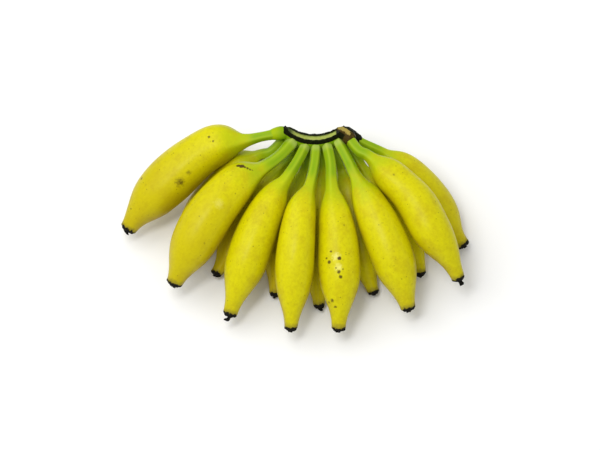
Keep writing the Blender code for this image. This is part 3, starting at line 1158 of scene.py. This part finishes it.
def crumple(pad):
    """Curl up the far lip of the cut, crumple what is dry, and hold all of it short of the far side of the
    CAD box.
    """
    look = bpy.context.scene.banana_crown
    to_own = crown_matrix().inverted()
    inwards = crown_matrix().to_3x3() @ Vector((0, 1, 0))
    mesh = pad.data
    rim, withered = [mesh.attributes[name].data for name in ("rim", "withered")]
    moves = []
    for vertex in mesh.vertices:
        place = to_own @ vertex.co
        angle = stem_angle(place)
        height = rim_height(angle)
        bumps = noise.fractal(vertex.co * CRUMPLE_SCALE, 1.0, 2.0, 3)
        dry = max(rim[vertex.index].value, withered[vertex.index].value)
        lip = between(-height + 0.0035, -height + 0.001, place.z) if place.z < 0 else 0.0
        lip *= 1 - 1.5 * between(*LIP_ENDS, abs(math.degrees(angle)))
        lip *= 1 - between(0.0005, 0.003, face_depth(place))
        moves.append(vertex.normal * look.crumpling * bumps * dry + inwards * lip * look.lip_height)
    move_points(mesh, moves)
    for vertex in mesh.vertices:
        vertex.co.y = min(vertex.co.y, CAD_BOX[1][1] - BOX_GAP)


def make_crown():
    """Make the crown: the cut pad and its lobes, grown together in one skin."""
    pad = spin_pad()
    cut_by_stem(pad)
    pad.data.transform(crown_matrix())
    grow_together(pad, [make_lobe(row, number, stations) for (row, number), stations in LOBES.items()])
    relax_skin(pad)
    mark_crown(pad)
    crumple(pad)
    shade_smooth(pad)
    pad.name = "crown_skin"
    pad.data.materials.clear()
    pad.data.materials.append(crown_material())
    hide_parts("crown")
    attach(pad, "root")
    return pad


def rim_height(angle):
    """Return how far along the stem the cut's rims lie from its middle, at an angle round the stem."""
    half_chord = pad_radius(angle) ** 2 - (STEM_RADIUS - PAD_ARC_RADIUS) ** 2
    return math.sqrt(max(half_chord, 0.01)) * MM


def mark_crown(crown):
    """Store on each point of the crown what it is: cut face, dry rim, green or withered tissue."""
    look = bpy.context.scene.banana_crown
    to_own = crown_matrix().inverted()
    start, end = [Vector(point) for point in CHARRED_EDGE]
    along = (end - start).normalized()
    marks = add_marks(crown.data, CROWN_MARKS)
    # Depths and heights are in metres, and places in the drawing in millimetres.
    for vertex in crown.data.vertices:
        place = to_own @ vertex.co
        angle = stem_angle(place)
        height = rim_height(angle)
        turned = math.degrees(angle)
        depth = face_depth(place)
        on_face = 1 - between(0.0004, 0.0010, depth)
        near_edge = 1 - between(height - 0.0016, height - 0.0006, place.z)
        far_edge = between(-height + 0.0025, -height + 0.0045, place.z)
        ends = between(*CUT_STARTS, turned) * (1 - between(*CUT_ENDS, turned))
        far_shade = 1 - between(-height + 0.004, -height + 0.010, place.z)
        width = look.rim_width if place.z > 0 else 0.45 * look.rim_width
        seen = Vector(drawn_place(vertex.co))
        below = (seen - start).x * along.y - (seen - start).y * along.x
        reach = (seen - start).dot(along)
        collar = between(5.2, 6.6, below) * (1 - between(4.6, 6.4, reach))
        values = {
            "cut": on_face * near_edge * far_edge * ends,
            "shade": max(far_shade, 1 - between(*SHADE_ENDS, turned)),
            "rim": (1 - between(width * 0.8, width * 1.15, depth)) * between(*RIM_STARTS, seen.x),
            "yellowed": 1 - between(*YELLOWED_ENDS, seen.x),
            "withered": between(*WITHERED_STARTS, turned),
            "charred": max(1 - between(0.6, 1.8, below), between(11.5, 14.0, reach), collar),
            "golden": (1 - between(2.6, 6.0, below)) * (1 - between(6.0, 10.5, reach)),
        }
        for name, data in zip(CROWN_MARKS, marks):
            data[vertex.index].value = values[name]


# Stage


def make_floor():
    """Lay a plain pale floor."""
    look = bpy.context.scene.banana_stage
    deselect()
    bpy.ops.mesh.primitive_plane_add(size=look.floor_side, location=(0, 0, 0))
    floor = bpy.context.object
    floor.name = "floor"
    material, _, shader = start_material("pale_floor", FLOOR_SPECULAR)
    shader.inputs["Base Color"].default_value = full(look.floor_colour)
    shader.inputs["Roughness"].default_value = 0.9
    floor.data.materials.append(material)


def aim(thing, target):
    """Turn a lamp or camera towards a target."""
    thing.rotation_euler = (target - thing.location).to_track_quat("-Z", "Y").to_euler()


def hang_lamp(name, place, power, width, length):
    """Hang a rectangular lamp that shines on the hand."""
    lamp = bpy.data.lights.new(name, "AREA")
    lamp.shape = "RECTANGLE"
    lamp.energy = power
    lamp.size = width
    lamp.size_y = length
    lamp_object = bpy.data.objects.new(name, lamp)
    bpy.context.scene.collection.objects.link(lamp_object)
    lamp_object.location = place
    aim(lamp_object, Vector(LAMP_TARGET))


def make_lights():
    """Hang a large soft lamp up on the left and a narrow one overhead, and light all round evenly."""
    look = bpy.context.scene.banana_stage
    hang_lamp("key", KEY_PLACE, look.key_power, look.key_side, look.key_side)
    hang_lamp("strip", STRIP_PLACE, look.strip_power, look.strip_width, look.strip_length)
    world = bpy.data.worlds.new("studio")
    world.use_nodes = True
    background = world.node_tree.nodes["Background"]
    background.inputs["Color"].default_value = (1.0, 1.0, 1.0, 1.0)
    background.inputs["Strength"].default_value = look.sky
    bpy.context.scene.world = world
    bpy.context.scene.view_settings.view_transform = "Standard"


def make_camera():
    """Look down on the hand at the angle of the drawing, from so far off that it hardly widens."""
    look = bpy.context.scene.banana_stage
    data = bpy.data.cameras.new("camera")
    data.sensor_width = 36.0
    data.lens = data.sensor_width * look.camera_distance / look.view_width
    data.clip_end = 100.0
    camera = bpy.data.objects.new("camera", data)
    bpy.context.scene.collection.objects.link(camera)
    target = drawn_point(*CAMERA_TARGET)
    sight = Vector((0, math.cos(SIGHT_LEAN), -math.sin(SIGHT_LEAN)))
    camera.location = target - sight * look.camera_distance
    aim(camera, target)
    bpy.context.scene.camera = camera


# Operators


class BANANA_OT_skin_groups(Operator):
    """Build the node groups that all the fingers' skins share"""

    bl_idname = "banana.skin_groups"
    bl_label = "Build skin groups"

    def execute(self, context):
        skin_group()
        mark_group()
        return {"FINISHED"}


class BANANA_OT_front_row(Operator):
    """Make the fingers of the front row, which lie on top"""

    bl_idname = "banana.front_row"
    bl_label = "Make front row"

    def execute(self, context):
        for number in range(len(FINGERS["front"])):
            make_finger("front", number)
        return {"FINISHED"}


class BANANA_OT_back_row(Operator):
    """Make the fingers of the back row, which lie on the table"""

    bl_idname = "banana.back_row"
    bl_label = "Make back row"

    def execute(self, context):
        for number in range(len(FINGERS["back"])):
            make_finger("back", number)
        return {"FINISHED"}


class BANANA_OT_crown(Operator):
    """Make the crown with its cut face and its lobes"""

    bl_idname = "banana.crown"
    bl_label = "Make crown"

    def execute(self, context):
        make_crown()
        return {"FINISHED"}


class BANANA_OT_stage(Operator):
    """Make the floor, the lights and the camera"""

    bl_idname = "banana.stage"
    bl_label = "Make stage"

    def execute(self, context):
        make_floor()
        make_lights()
        make_camera()
        return {"FINISHED"}


class BANANA_PT_panel(Panel):
    """Lists the steps that make the hand of bananas"""

    bl_idname = "BANANA_PT_panel"
    bl_label = "Hand of bananas"
    bl_space_type = "VIEW_3D"
    bl_region_type = "UI"
    bl_category = "Bananas"

    def draw(self, context):
        for step in STEPS:
            self.layout.operator(step.bl_idname)
        for group in LOOKS:
            box = self.layout.box()
            look = getattr(context.scene, group)
            for name in look.__annotations__:
                box.prop(look, name)


STEPS = (
    BANANA_OT_skin_groups,
    BANANA_OT_front_row,
    BANANA_OT_back_row,
    BANANA_OT_crown,
    BANANA_OT_stage,
)
LOOKS = {
    "banana_shape": BananaShape,
    "banana_peel": PeelLook,
    "banana_crown": CrownLook,
    "banana_stage": StageLook,
}


def register():
    """Register every class and hang the looks on the scene."""
    for item in (*LOOKS.values(), *STEPS, BANANA_PT_panel):
        bpy.utils.register_class(item)
    for name, look in LOOKS.items():
        setattr(bpy.types.Scene, name, PointerProperty(type=look))


def unregister():
    """Undo what register does."""
    for name in LOOKS:
        delattr(bpy.types.Scene, name)
    for item in (BANANA_PT_panel, *STEPS, *LOOKS.values()):
        bpy.utils.unregister_class(item)


def main():
    """Make the whole hand and its stage."""
    register()
    bpy.ops.banana.skin_groups()
    bpy.ops.banana.front_row()
    bpy.ops.banana.back_row()
    bpy.ops.banana.crown()
    bpy.ops.banana.stage()


if __name__ == "__main__":
    main()
